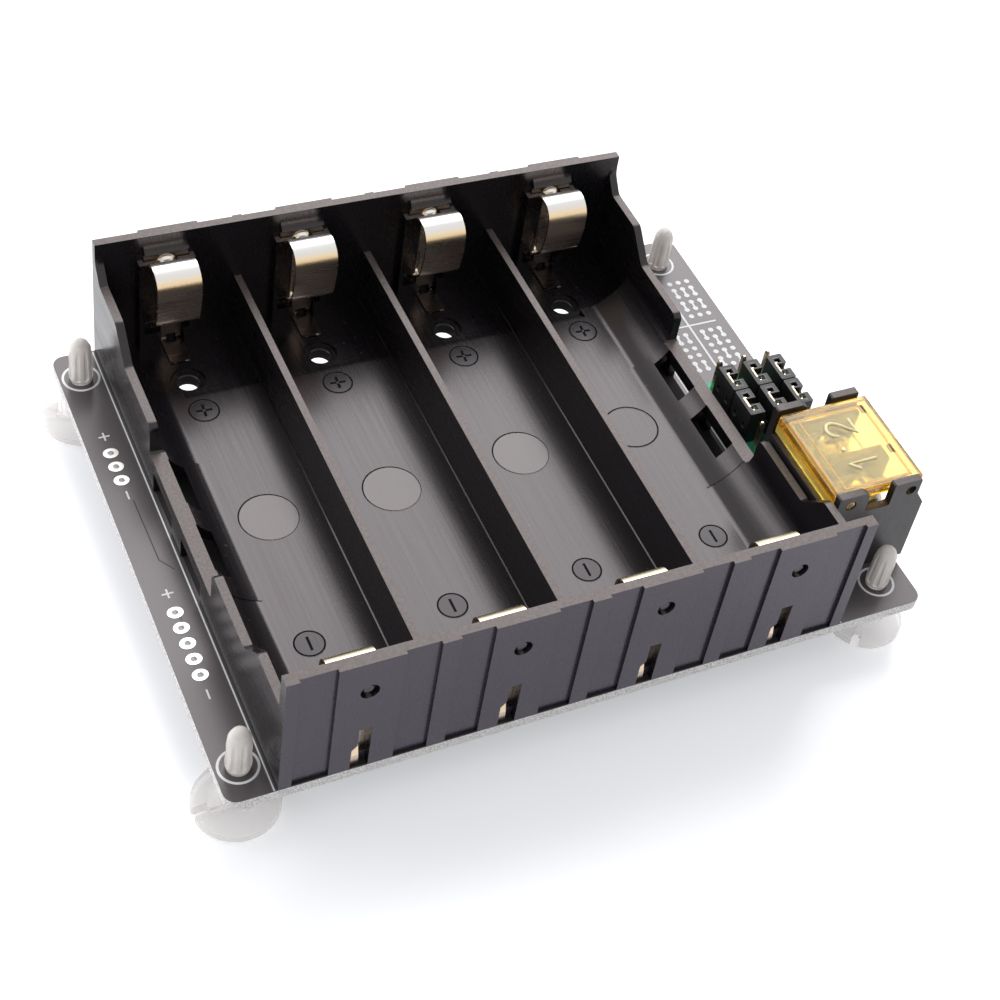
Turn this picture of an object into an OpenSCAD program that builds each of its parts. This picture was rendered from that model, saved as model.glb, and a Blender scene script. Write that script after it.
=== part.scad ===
// Holder for four cylindrical cells on a circuit board, with jumpers and a covered screw terminal
// Lengths in millimetres, the front faces -Y and the terminal stands on the right

/* [Tray] */
// Clear width of one cell bay
bay_w = 18.3; // [17:0.1:22]
// Clear length of a bay between the end walls
bay_l = 74.15; // [71:0.05:80]
// Diameter of the cell that lies in a bay
cell_d = 18.6; // [17:0.1:19]
// Thickness of the dividers between bays
divider_t = 1; // [0.8:0.1:2]
// Height of the dividers above the board
divider_h = 10.5; // [8:0.1:13]
// Thickness of the side walls
side_t = 1.15; // [0.9:0.05:2]
// Thickness of the front wall across its pads
front_t = 1.65; // [1.4:0.05:2.5]
// Thickness of the back wall between its pads
back_t = 1.2; // [1:0.05:2.5]
// Height of the end walls above the board
tray_h = 20.4; // [19.9:0.1:24]
// Thickness of the bay floor
floor_t = 1.7; // [1.4:0.1:2.2]

/* [Tray details] */
// Height of the side walls beside the end walls
shoulder_h = 14.8; // [13:0.1:16]
// Height of the side walls along the cells
rail_h = 10.6; // [9:0.1:12]
// Height of the side walls in the finger dip
dip_h = 5.7; // [5.3:0.1:7]
// Distance from the front face to the finger dip
dip_y = 25.5; // [22:0.5:28]
// Length of the finger dip
dip_l = 25.4; // [22:0.2:27]
// Length of each sloping step of the side walls
slope_l = 4.1; // [3:0.1:5]
// Gap between a cell and its cradle
cradle_gap = 0.63; // [0.4:0.01:0.8]
// Height of the raised cradle band in the finger dip
band_rise = 0.1; // [0.05:0.05:0.5]
// Length of each cradle window
window_l = 7.9; // [5:0.1:9]
// Length of the bar between two cradle windows
window_bar = 3.8; // [2:0.1:5]
// Floor thickness in the contact recess
recess_t = 0.8; // [0.6:0.1:1.2]
// Length of the contact recess
recess_l = 12.4; // [11:0.1:14]
// Depth of the panels between the front pads
panel_d = 0.45; // [0.2:0.05:0.6]
// Width of the front and back pads at each bay
pad_w = 8.2; // [7:0.1:9]
// Width of the front pads at the dividers
rib_w = 2.4; // [1.5:0.1:3]
// Thickness of the pads on the back wall
back_pad_t = 0.4; // [0.2:0.05:0.5]

/* [Contacts] */
// Thickness of the contact strip
strip_t = 0.3; // [0.2:0.05:0.4]
// Width of a contact leaf
leaf_w = 6.1; // [5:0.1:7]
// Width of a contact stem
stem_w = 2.9; // [2:0.1:3.2]
// Reach of a back contact into the bay
back_reach = 6.8; // [6:0.1:7]
// Reach of a front contact into the bay
front_reach = 4.8; // [4.6:0.1:6]
// Roll radius of a back contact
back_roll = 2.5; // [2:0.1:2.7]
// Roll radius of a front contact
front_roll = 2; // [1.6:0.1:2.2]
// Length of a back contact's foot on the recess floor
contact_foot_l = 5.2; // [4:0.1:5.5]

/* [Board] */
// Thickness of the board
board_t = 1.6; // [1:0.1:2]
// Board left of the tray
left_apron = 6.15; // [6:0.05:9]
// Board right of the tray
right_apron = 13.6; // [13:0.1:18]
// Pitch of the header pins and of the lead holes
pin_pitch = 2.54; // [2.5:0.01:2.6]
// Diameter of the lead holes
lead_hole_d = 1; // [0.7:0.1:1.2]

/* [Feet] */
// Height of the board's underside
foot_h = 6.6; // [5:0.1:10]
// Diameter of a foot disc
foot_d = 11; // [9:0.5:13]
// Thickness of a foot disc
foot_t = 1.6; // [1.2:0.1:2.2]
// Diameter of a foot stem
foot_stem_d = 5.6; // [4.5:0.1:6.5]
// Diameter of a foot's peg above the board
peg_d = 3.3; // [3:0.1:3.8]
// Height of a peg above the board
peg_h = 7.3; // [5:0.1:9]
// Diameter of the peg holes in the board
peg_hole_d = 3; // [2.6:0.1:3.1]
// Distance of the pegs from the tray's front and back faces
peg_inset = 4.8; // [3.5:0.1:6]

/* [Jumper headers] */
// Distance between the header strips
column_pitch = 4; // [3:0.1:4.2]
// Front end of the header strips
header_y = 29; // [28:0.2:34]
// Height of the header bases
header_h = 2.5; // [2:0.1:3]
// Width of the header bases
header_w = 2.5; // [2.3:0.05:2.54]
// Side of the square pins
pin_w = 0.64; // [0.5:0.02:0.7]
// Height of the pin tips above the board
pin_tip_h = 8; // [7.5:0.1:8.2]
// Width of a jumper
jumper_w = 2.4; // [2.2:0.05:2.5]
// Height of a jumper
jumper_h = 5.8; // [5.6:0.1:7]

/* [Terminal] */
// Width of the terminal from the tray side to the wire side
term_w = 14.6; // [13.6:0.1:16]
// Length of the terminal
term_l = 18.1; // [17:0.1:19]
// Thickness of the terminal's end plates and barrier
term_wall = 1.1; // [0.9:0.05:1.3]
// Height of the terminal floor
term_floor_h = 7; // [6:0.1:7.4]
// Height of the closed cover
cover_top_h = 15.3; // [15.1:0.1:15.7]
// Thickness of the cover
cover_t = 1; // [0.7:0.05:1.1]
// Diameter of the hinge holes
hinge_hole_d = 1.6; // [1.4:0.05:1.7]
// Diameter of a terminal screw's shank
screw_d = 3; // [2.5:0.1:3.2]

/* [Hidden] */
$fn = 48;
cut = 1; // overshoot of cutting shapes past a face
bays = 4;
bay_pitch = bay_w + divider_t;
tray_w = 2 * side_t + bays * bay_w + (bays - 1) * divider_t;
tray_l = front_t + bay_l + back_t;
back_in = tray_l - back_t;
axis_z = floor_t + cell_d / 2;
cradle_r = cell_d / 2 + cradle_gap;
bay_half = bay_w / 2;
first_bay_x = side_t + bay_half;
cradle_reach = first_bay_x - sqrt(pow(cradle_r, 2) - pow(cell_d / 2, 2));
cradle_overlap = 1.1; // how far a cradle runs on above the contact recess
cradle_end = back_in - recess_l + cradle_overlap;
inner_edge = cradle_reach + 0.6; // inner edge of a side wall's block
skin_t = 1.2; // wall under a cradle
slab_x = 5.6; // side edge of the floor slab, under the cradle
window_h = 3.6;
window_x = [1.9, 4.1]; // inner and outer end of a cradle window
window_mid = dip_y + dip_l / 2 + 1.2; // middle of the bar between the windows
contact_x = -0.7; // contact centre from the bay centre
stem_x = 0.1; // stem centre from the bay centre
fold_z = 5; // height of a contact's fold
fold_low = fold_z - 1.1;
fold_r = 0.9;
bow = 0.9; // how far a leaf's lower bend stays behind its front
bow_rise = 0.65; // share of the leaf's front face below its second bend
back_roll_drop = 1.7; // roll centre below the plate's top, at the back
front_roll_drop = 3.5; // roll centre below the plate's top, at the front
wall_gap = 0.05; // between a contact's plate and its wall
slide_gap = 0.15; // beside a contact in its guides and slots
guide_w = 0.7;
guide_d = 1.2;
lip_y = 0.5; // the guides' lips stand in front of the contact's plate
lip_reach = 1.6; // over the edge of the plate
guide_h = tray_h - 4;
plate_h = tray_h - 3; // top of a contact's plate
dimple_drop = 1.65; // centre of a contact's dimple below the plate's top
ledge_h = 0.3;
ledge_z = plate_h + 0.2; // underside of the ledge over a contact
ledge_d = 0.8;
ledge_rise = 1.5;
lip_z = fold_z + 0.6; // lower end of the guides' lips
foot_guide_h = fold_z - 1.5; // height of the guides beside a contact's stem
embed = 0.1; // overlap that joins two shapes of one moulding
gauge_z = tray_h - 5.4;
gauge_d = 2.4;
gauge_depth = 0.9;
gauge_pin_h = 0.5;
gauge_pin_tip = 0.52; // share of the hole's width
gauge_pin_foot = 0.6;
tail_slot_x = [-1.4, -0.7, 0.9]; // wide lower left side, narrow upper left side, right side
tail_slot_z = [3.8, 4.6, 7.7]; // start and end of the slant, top
notch_h = 0.22; // notch under each front panel
notch_d = panel_d + 0.5;
slab_y = panel_d + 0.6; // front edge of the floor slab
slab_inset = 0.5; // side inset of the floor's end strips
recess_inset = 3; // side of the recess in an outer bay, from the slab's edge
ramp = [0.8, 0.7]; // slope in front of a recess: before and past its edge
back_rib_w = 1.3; // rib on the back wall behind a divider
back_rib_t = 0.2;
fillet = 0.15; // foot of a divider
end_rib = side_t + 0.5; // front pad at each side wall
lance_top = 9; // top of the slot that frees the stem from the leaf
lance_join = 0.2;
lance_d = 1.2; // how far the slot stops behind the leaf's front
stem_slot_w = 1.4; // slot across the bend of a back contact's stem
stem_slot_y = 1.1;
stem_slot_h = 1.2;
stem_bend_r = 0.6;
back_tail_w = 1.2; // tail at the end of a back contact's foot
back_tail_gap = [0.2, 0.15]; // beside and along the tail in its slot
tail_slot_d = 0.55; // slot for a front contact's tail, in the floor
dimple_r = [1.35, 1.2, 0.8];
dimple_h = [0.38, 0.63, 0.75];
roll_end = 150; // degrees that the leaf's top is rolled over
roll_step = 15;
strip_u = wall_gap + strip_t / 2;
screw_hole_y = back_in - 8.8; // screw holes through the tray floor and the board
screw_hole_d = 3.2;
screw_sink_d = 4.9;
corner_r = 1.7; // board corners
board_x0 = -left_apron;
board_x1 = tray_w + right_apron;
peg_x = [-3.2, tray_w + 8.85];
peg_y = [peg_inset, tray_l - peg_inset];
foot_turns = [3, 47, 150, 95]; // degrees, as each foot was pressed in
flutes = 8;
header_x = tray_w + 2.8;
header_rows = 6;
jumper_gap = 0.13; // between two caps in a row
seat_gap = 0.1; // under a piece that can be lifted, and round a leg
jumper_l = 2 * pin_pitch - jumper_gap;
clip_t = 0.15; // bridge clip in a jumper cap
pin_hole_gap = 0.1; // round a square pin's corners in the board
pin_stub = 0.9; // pin below the board
pin_tip_l = 0.5;
header_nick = 0.35;
slot_w = pin_w + 0.46; // hollow of a jumper cap
slot_l = pin_pitch + pin_w + 0.8;
jumper_r = 0.25;
jumper_gap_w = 1.3; // gap in a cap's side
jumper_gap_h = 1.3;
clip_window_w = 0.7;
clip_window_z = [2.2, 3.2];
clip_z = [0.8, 0.3]; // above the cap's foot, and below its top
bridge_w = 1.2;
bridge_t = 0.2;
lead_x = -3.3; // line of the lead holes
lead_rows_back = [3, 52.35]; // holes, y of the front hole
lead_rows_front = [5, 18.85];
term_x = tray_w + 0.4;
term_y = 8.1;
bay_gap = (term_l - 3 * term_wall) / 2;
screw_x = 8.1;
tab_t = 0.8;
tab_x = 2.8;
tab_half = bay_gap / 2 - 0.8; // half widths of a tab and of its leg
leg_half = tab_half - 0.9;
clamp_t = 1;
hinge_x = 2.1; // cover hinge from the housing's left side
ear_h = cover_top_h + 0.7;
barrier_h = cover_top_h - 2.7;
term_back_h = cover_top_h - 3.8;
ear_dip_h = cover_top_h - 3.1;
spare_hinge_x = term_w - 2.9; // lets the cover be fitted the other way round
hinge_z = cover_top_h - 1.1;
cover_gap = 0.2;
pin_gap = 0.08; // around the cover's hinge pins
pin_inset = 0.05;
thread_gap = 0.1; // between a screw and its tab
shank_gap = 0.3; // between a screw and the housing
head_gap = 0.05; // under a screw head
clamp_gap = 0.4; // beside a clamp, and between its lips and the screw head
lip_t = 0.3;
screw_tip_z = 3;
cover_rim_h = 1.9;
cover_side_gap = [0.25, 0.3]; // cover's edges from the housing's left and right side
clamp_half_l = 3;
clamp_lip_half_l = 2.2;
clamp_lip_rise = 0.7;
clamp_r = 0.6;
deck_z = foot_h + board_t;
mid_x = (min(board_x0, peg_x[0] - foot_d / 2) + max(board_x1, peg_x[1] + foot_d / 2, term_x + term_w)) / 2;
mid_y = tray_l / 2;

// Unit vector along v
function unit(v) = v / norm(v);

// Points of the arc that rounds corner b between a and c
function turn(a, b, c, r, n = 6) = r <= 0 ? [b] :
    let (u = unit(a - b), v = unit(c - b), half = acos(u * v) / 2)
    let (mid = b + unit(u + v) * r / sin(half), p = b + u * r / tan(half), q = b + v * r / tan(half))
    let (a0 = atan2(p[1] - mid[1], p[0] - mid[0]), a1 = atan2(q[1] - mid[1], q[0] - mid[0]))
    let (d = a1 - a0, sweep = d > 180 ? d - 360 : d < -180 ? d + 360 : d)
    [for (i = [0:n]) mid + r * [cos(a0 + sweep * i / n), sin(a0 + sweep * i / n)]];

// First two numbers of a point with a corner radius
function flat(p) = [p[0], p[1]];

// Closed outline with each [x, y, radius] corner rounded
function rounded(p) = let (n = len(p))
    [for (i = [0:n - 1]) each turn(flat(p[(i + n - 1) % n]), flat(p[i]), flat(p[(i + 1) % n]), p[i][2])];

// Open line with its inner corners rounded
function bent(p) = let (n = len(p))
    [for (i = [0:n - 1]) each (i == 0 || i == n - 1) ? [flat(p[i])] :
        turn(flat(p[i - 1]), flat(p[i]), flat(p[i + 1]), p[i][2])];

// Outline of a strip of thickness t along a line
function ribbon(path, t) = let (n = len(path) - 1)
    let (way = [for (i = [0:n]) unit(path[min(i + 1, n)] - path[max(i - 1, 0)])])
    let (side = [for (d = way) [-d[1], d[0]] * t / 2])
    concat([for (i = [0:n]) path[i] + side[i]], [for (i = [n:-1:0]) path[i] - side[i]]);

// Moves tray coordinates to the part's frame: tray corner on the board becomes bottom centre
module place() {
    translate([-mid_x, -mid_y, deck_z]) children();
}

// Extrudes a y-z outline from x0 to x1
module along_x(x0, x1) {
    translate([x0, 0, 0]) rotate([90, 0, 90]) linear_extrude(x1 - x0) children();
}

// Extrudes an x-z outline from y0 to y1
module along_y(y0, y1) {
    translate([0, y1, 0]) rotate([90, 0, 0]) linear_extrude(y1 - y0) children();
}

// Box between two corners
module box(low, high) {
    translate(low) cube(high - low);
}

// Middle of bay i, and of the divider at its left
function bay_x(i) = first_bay_x + i * bay_pitch;
function divider_x(i) = bay_x(i) - bay_pitch / 2;

// Top line of a side wall: shoulders, rails and the finger dip
side_outline = rounded([
    [0, 0, 0],
    [tray_l, 0, 0],
    [tray_l, tray_h, 0],
    [back_in + 0.1, tray_h, 0],
    [back_in - 0.1, shoulder_h + 2.4, 2.5],
    [back_in - 2.1, shoulder_h, 1],
    [tray_l - 10.6, shoulder_h, 1.5],
    [tray_l - 10.6 - slope_l, rail_h, 1.5],
    [dip_y + dip_l, rail_h, 1.1],
    [dip_y + dip_l, dip_h, 0.5],
    [dip_y, dip_h, 0.5],
    [dip_y, rail_h, 1.1],
    [9.4 + slope_l, rail_h, 1.5],
    [9.4, shoulder_h, 1.5],
    [front_t, shoulder_h, 0],
    [front_t, tray_h, 0],
    [0, tray_h, 0]
]);

// Space of the outer bay above its cradle, between y0 and y1
module cradle_space(y0, y1, r) {
    intersection() {
        translate([first_bay_x, y0, axis_z]) rotate([-90, 0, 0]) cylinder(r = r, h = y1 - y0, $fn = 96);
        box([side_t, y0, 0], [first_bay_x, y1, axis_z + cut]);
    }
}

// One side wall with the cradle that guides the outer cell
module side_wall() {
    windows_y = window_mid - window_l - window_bar / 2;
    difference() {
        along_x(0, inner_edge) polygon(side_outline);
        box([end_rib, -cut, -cut], [first_bay_x - pad_w / 2, panel_d, tray_h + cut]);
        box([end_rib, -cut, -cut], [first_bay_x - pad_w / 2, notch_d, notch_h]);
        cradle_space(front_t, dip_y + 0.7, cradle_r);
        cradle_space(dip_y + 0.6, dip_y + dip_l - 0.1, cradle_r - band_rise);
        cradle_space(dip_y + dip_l - 0.2, cradle_end + cut, cradle_r);
        box([side_t, front_t, axis_z], [inner_edge + cut, back_in, tray_h + cut]);
        box([side_t, cradle_end, recess_t], [inner_edge + cut, back_in, tray_h + cut]);
        difference() {
            box([side_t, front_t + skin_t, -cut], [slab_x + 0.3, cradle_end - skin_t, axis_z / 2]);
            translate([first_bay_x, 0, axis_z]) rotate([-90, 0, 0])
                cylinder(r = cradle_r + skin_t, h = tray_l, $fn = 96);
        }
        for (i = [0, 1]) {
            y0 = windows_y + i * (window_l + window_bar);
            box([-cut, y0, -cut], [window_x[1], y0 + window_l, window_h]);
            box([window_x[0], y0, -cut], [window_x[1], y0 + window_l, rail_h]);
        }
    }
}

// Slot in the front wall in which the contact's tail shows
module tail_slot() {
    along_y(-cut, front_t + 0.01)
        polygon([
            [tail_slot_x[0], -cut],
            [tail_slot_x[2], -cut],
            [tail_slot_x[2], tail_slot_z[2]],
            [tail_slot_x[1], tail_slot_z[2]],
            [tail_slot_x[1], tail_slot_z[1]],
            [tail_slot_x[0], tail_slot_z[0]]
        ]);
}

// Front wall with its pads, panels, gauge holes and tail slots
module front_wall() {
    difference() {
        union() {
            box([0, panel_d, 0], [tray_w, front_t, tray_h]);
            for (i = [0:bays - 1])
                box([bay_x(i) - pad_w / 2, 0, 0], [bay_x(i) + pad_w / 2, front_t, tray_h]);
            for (i = [1:bays - 1]) {
                x = divider_x(i);
                box([x - rib_w / 2, 0, 0], [x + rib_w / 2, front_t, tray_h]);
            }
            box([0, 0, 0], [end_rib, front_t, tray_h]);
            box([tray_w - end_rib, 0, 0], [tray_w, front_t, tray_h]);
        }
        for (i = [0:bays - 1]) {
            translate([bay_x(i), 0, gauge_z]) rotate([-90, 0, 0]) difference() {
                translate([0, 0, -cut]) cylinder(d = gauge_d, h = cut + gauge_depth, $fn = 32);
                translate([0, 0, gauge_depth - gauge_pin_h]) cylinder(
                    d1 = gauge_d * gauge_pin_tip, d2 = gauge_d * gauge_pin_foot, h = gauge_pin_h + embed, $fn = 32
                );
            }
            translate([bay_x(i), 0, 0]) tail_slot();
        }
        for (i = [0:bays - 1], s = [-1, 1]) {
            edge = i == 0 && s < 0 || i == bays - 1 && s > 0;
            reach = edge ? first_bay_x - end_rib : bay_pitch / 2 - rib_w / 2;
            a = bay_x(i) + s * pad_w / 2;
            b = bay_x(i) + s * reach;
            box([min(a, b), -cut, -cut], [max(a, b), notch_d, notch_h]);
        }
    }
}

// Back wall with its pads and the small ribs behind the dividers
module back_wall() {
    box([0, back_in, 0], [tray_w, tray_l, tray_h]);
    for (i = [0:bays - 1])
        box([bay_x(i) - pad_w / 2, back_in, 0], [bay_x(i) + pad_w / 2, tray_l + back_pad_t, tray_h]);
    for (i = [1:bays - 1])
        box([divider_x(i) - back_rib_w / 2, back_in, 0],
            [divider_x(i) + back_rib_w / 2, tray_l + back_rib_t, tray_h]);
}

// Guides that hold one contact, drawn on a wall at y = 0 with the bay towards +Y
module contact_guides(base, lip_top) {
    for (s = [-1, 1]) {
        x = contact_x + s * (leaf_w / 2 + slide_gap);
        box([min(x, x + s * guide_w), -embed, base - embed], [max(x, x + s * guide_w), guide_d, guide_h]);
        inner = stem_x + s * (stem_w / 2 + slide_gap);
        box([min(x, inner), -embed, base - embed], [max(x, inner), guide_d, foot_guide_h]);
        lip = contact_x + s * (leaf_w / 2 - lip_reach);
        box([min(x, lip), lip_y, lip_z], [max(x, lip), guide_d, lip_top]);
    }
    along_x(contact_x - leaf_w / 2, contact_x + leaf_w / 2)
        polygon([
            [-embed, ledge_z], [ledge_d, ledge_z], [ledge_d, ledge_z + ledge_h], [-embed, ledge_z + ledge_rise]
        ]);
}

// Tray moulding that holds the cells and contacts
module tray_body() {
    front_slot = stem_w / 2 + slide_gap; // half widths of the slots for the contacts' tails
    back_slot = back_tail_w / 2 + back_tail_gap[0];
    tail_y = back_in - contact_foot_l;
    difference() {
        union() {
            box([slab_x, slab_y, 0], [tray_w - slab_x, tray_l, floor_t]);
            box([slab_inset, slab_y, 0], [tray_w - slab_inset, front_t + skin_t, floor_t]);
            box([slab_inset, cradle_end - skin_t, 0], [tray_w - slab_inset, tray_l, floor_t]);
            side_wall();
            translate([tray_w, 0, 0]) mirror([1, 0, 0]) side_wall();
            front_wall();
            back_wall();
            for (i = [1:bays - 1])
                translate([divider_x(i), 0, 0]) along_y(front_t - embed, back_in + embed)
                    polygon([
                        [-divider_t / 2 - fillet, recess_t],
                        [-divider_t / 2 - fillet, floor_t],
                        [-divider_t / 2, floor_t + fillet],
                        [-divider_t / 2, divider_h],
                        [divider_t / 2, divider_h],
                        [divider_t / 2, floor_t + fillet],
                        [divider_t / 2 + fillet, floor_t],
                        [divider_t / 2 + fillet, recess_t]
                    ]);
        }
        for (i = [0:bays - 1]) {
            left = i == 0 ? slab_x + recess_inset : bay_x(i) - bay_half + fillet;
            right = i == bays - 1 ? tray_w - slab_x - recess_inset : bay_x(i) + bay_half - fillet;
            along_x(left, right) polygon([
                [back_in - recess_l - ramp[0], floor_t],
                [back_in - recess_l + ramp[1], recess_t],
                [back_in, recess_t],
                [back_in, floor_t + 0.01],
                [back_in - recess_l - ramp[0], floor_t + 0.01]
            ]);
            if (i == 0)
                box([side_t, cradle_end, recess_t], [left + 0.1, back_in, floor_t + cut]);
            if (i == bays - 1)
                box([right - 0.1, cradle_end, recess_t], [tray_w - side_t, back_in, floor_t + cut]);
            translate([bay_x(i), screw_hole_y, 0]) {
                translate([0, 0, -cut]) cylinder(d = screw_hole_d, h = floor_t + 2 * cut, $fn = 32);
                translate([0, 0, recess_t / 2]) cylinder(d = screw_sink_d, h = floor_t, $fn = 40);
            }
            stem_mid = bay_x(i) + stem_x;
            box([stem_mid - front_slot, front_t - 0.01, -cut],
                [stem_mid + front_slot, front_t + tail_slot_d, floor_t + 0.1]);
            box([stem_mid - back_slot, tail_y - back_tail_gap[1], -cut],
                [stem_mid + back_slot, tail_y + strip_t + back_tail_gap[1], recess_t + 0.1]);
        }
    }
    for (i = [0:bays - 1]) {
        translate([bay_x(i), front_t, 0]) contact_guides(floor_t, plate_h - front_roll_drop - 2 * strip_t);
        translate([bay_x(i), back_in, 0]) mirror([0, 1, 0]) contact_guides(recess_t, guide_h);
    }
}

module cell_tray() {
    color("#232327") place() tray_body();
}

// Half-round bump that locks the contact's plate under the ledge
module dimple() {
    translate([contact_x, wall_gap + strip_t - 0.05, plate_h - dimple_drop]) rotate([-90, 0, 0])
        rotate_extrude($fn = 32) polygon([
            [0, 0], [dimple_r[0], 0], [dimple_r[1], dimple_h[0]], [dimple_r[2], dimple_h[1]], [0, dimple_h[2]]
        ]);
}

// Leaf on a plate: folded at the bottom, bulging into the bay and rolled over at the top
module leaf(reach, roll, roll_z) {
    knee = reach - bow;
    knee_z = fold_low + knee - strip_u;
    line = bent([
        [strip_u, plate_h, 0],
        [strip_u, fold_low, fold_r],
        [knee, knee_z, 2.5],
        [reach - strip_t / 2, knee_z + bow_rise * (roll_z - knee_z), 7],
        [reach - strip_t / 2, roll_z, 0]
    ]);
    mid = [reach - strip_t / 2 - roll, roll_z];
    rolled = [for (a = [roll_step:roll_step:roll_end]) mid + roll * [cos(a), sin(a)]];
    difference() {
        along_x(contact_x - leaf_w / 2, contact_x + leaf_w / 2) polygon(ribbon(concat(line, rolled), strip_t));
        box([stem_x - stem_w / 2 - slide_gap, -cut, 0],
            [stem_x + stem_w / 2 + slide_gap, reach - lance_d, lance_top]);
    }
    dimple();
}

// Front contact: leaf and a tail that goes down to the board
module front_contact() {
    leaf(front_reach, front_roll, plate_h - front_roll_drop);
    box([stem_x - stem_w / 2, wall_gap, 0], [stem_x + stem_w / 2, wall_gap + strip_t, lance_top + lance_join]);
}

// Back contact: leaf and a stem that turns along the recess floor to its tail
module back_contact() {
    foot_z = recess_t + strip_t / 2;
    leaf(back_reach, back_roll, plate_h - back_roll_drop);
    difference() {
        along_x(stem_x - stem_w / 2, stem_x + stem_w / 2) polygon(ribbon(bent([
            [strip_u, lance_top + lance_join, 0],
            [strip_u, foot_z, stem_bend_r],
            [contact_foot_l - strip_t / 2, foot_z, 0]
        ]), strip_t));
        box([stem_x - stem_slot_w / 2, -cut, recess_t - 0.1],
            [stem_x + stem_slot_w / 2, stem_slot_y, recess_t + stem_slot_h]);
    }
    box([stem_x - back_tail_w / 2, contact_foot_l - strip_t, 0],
        [stem_x + back_tail_w / 2, contact_foot_l, recess_t + strip_t]);
}

module spring_contact_front(i) {
    color("#d9d5c8") place() translate([bay_x(i - 1), front_t, 0]) front_contact();
}

module spring_contact_back(i) {
    color("#d9d5c8") place() translate([bay_x(i - 1), back_in, 0]) mirror([0, 1, 0]) back_contact();
}

function row_y(r) = header_y + (r + 0.5) * pin_pitch;

module circuit_board() {
    outline = rounded([
        [board_x0, 0, corner_r], [board_x1, 0, corner_r],
        [board_x1, tray_l, corner_r], [board_x0, tray_l, corner_r]
    ]);
    color("#26262b") place() translate([0, 0, -board_t]) difference() {
        linear_extrude(board_t) polygon(outline);
        for (x = peg_x, y = peg_y)
            translate([x, y, -cut]) cylinder(d = peg_hole_d, h = board_t + 2 * cut);
        for (rows = [lead_rows_back, lead_rows_front], i = [0:rows[0] - 1])
            translate([lead_x, rows[1] + i * pin_pitch, -cut])
                cylinder(d = lead_hole_d, h = board_t + 2 * cut, $fn = 24);
        for (i = [0:bays - 1])
            translate([bay_x(i), screw_hole_y, -cut])
                cylinder(d = screw_hole_d, h = board_t + 2 * cut, $fn = 32);
        for (c = [0:2], r = [0:header_rows - 1])
            translate([header_x + c * column_pitch, row_y(r), -cut])
                cylinder(d = pin_w * sqrt(2) + pin_hole_gap, h = board_t + 2 * cut, $fn = 24);
    }
}

// Header strip with a nick between the pins
module header_base(c) {
    half = header_w / 2;
    nick = header_nick;
    right = [for (r = [0:header_rows - 1]) each [
        [half - nick, r * pin_pitch], [half, r * pin_pitch + nick],
        [half, (r + 1) * pin_pitch - nick], [half - nick, (r + 1) * pin_pitch - 0.01]
    ]];
    left = [for (i = [len(right) - 1:-1:0]) [-right[i][0], right[i][1]]];
    color("#1f8a5b") place() translate([header_x + (c - 1) * column_pitch, header_y, 0]) difference() {
        linear_extrude(header_h) polygon(concat(right, left));
        for (r = [0:header_rows - 1])
            box([-pin_w / 2, (r + 0.5) * pin_pitch - pin_w / 2, -cut],
                [pin_w / 2, (r + 0.5) * pin_pitch + pin_w / 2, header_h + cut]);
    }
}

// Six square pins with chamfered tips, through the base and the board
module header_pins(c) {
    color("#d8b45a") place() for (r = [0:header_rows - 1])
        translate([header_x + (c - 1) * column_pitch, row_y(r), 0]) {
            box([-pin_w / 2, -pin_w / 2, -board_t - pin_stub], [pin_w / 2, pin_w / 2, pin_tip_h - pin_tip_l]);
            translate([0, 0, pin_tip_h - pin_tip_l]) rotate([0, 0, 45])
                cylinder(d1 = pin_w * sqrt(2), d2 = pin_w * 0.7, h = pin_tip_l, $fn = 4);
        }
}

// Place of jumper n: two on each header strip, on the four middle pins
module at_jumper(n) {
    translate([
        header_x + floor((n - 1) / 2) * column_pitch,
        header_y + (n % 2 == 1 ? 4 : 2) * pin_pitch,
        header_h + seat_gap
    ]) children();
}

// Jumper cap, open at the top, with a gap towards the wire side and clip windows
module jumper(n) {
    half = jumper_w / 2;
    color("#1c1c1f") place() at_jumper(n) difference() {
        linear_extrude(jumper_h) polygon(rounded([
            [-half, -jumper_l / 2, jumper_r], [half, -jumper_l / 2, jumper_r],
            [half, jumper_l / 2, jumper_r], [-half, jumper_l / 2, jumper_r]
        ]));
        box([-slot_w / 2, -slot_l / 2, -cut], [slot_w / 2, slot_l / 2, jumper_h + cut]);
        box([0, -jumper_gap_w / 2, jumper_h - jumper_gap_h], [half + cut, jumper_gap_w / 2, jumper_h + cut]);
        for (s = [-1, 1])
            box([-half - cut, (s * pin_pitch - clip_window_w) / 2, clip_window_z[0]],
                [0, (s * pin_pitch + clip_window_w) / 2, clip_window_z[1]]);
    }
}

// Bridge strip that lies on the jumper's inner wall and joins the two pins
module jumper_clip(n) {
    left = -slot_w / 2;
    color("#d8b45a") place() at_jumper(n) {
        box([left, seat_gap - slot_l / 2, clip_z[0]],
            [left + clip_t, slot_l / 2 - seat_gap, jumper_h - clip_z[1]]);
        box([left, -bridge_w / 2, jumper_h - jumper_gap_h - bridge_t],
            [slot_w / 2 - 0.25, bridge_w / 2, jumper_h - jumper_gap_h]);
    }
}

// Outline of the terminal's end plates, with two ears
ear_outline = rounded([
    [0, 0, 0], [term_w, 0, 0], [term_w, ear_dip_h - 1.2, 0.2], [term_w - 1.5, ear_dip_h + 1, 0.3],
    [term_w - 1.5, ear_h, 0.3], [term_w - 5.9, ear_h, 0.3], [term_w - 5.9, ear_dip_h, 0.3],
    [4.8, ear_dip_h, 0.3], [4.8, ear_h - 0.6, 0], [3.9, ear_h, 0], [0, ear_h, 0.3]
]);

// Outline of the barrier between the two wires, cut low where the cover's edge swings
barrier_outline = rounded([
    [0, 0, 0], [term_w, 0, 0], [term_w, barrier_h - 2.2, 0.3], [term_w - 1.6, barrier_h, 0.3],
    [5.4, barrier_h, 0.3], [4.6, term_back_h, 0.3], [0, term_back_h, 0]
]);

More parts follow.
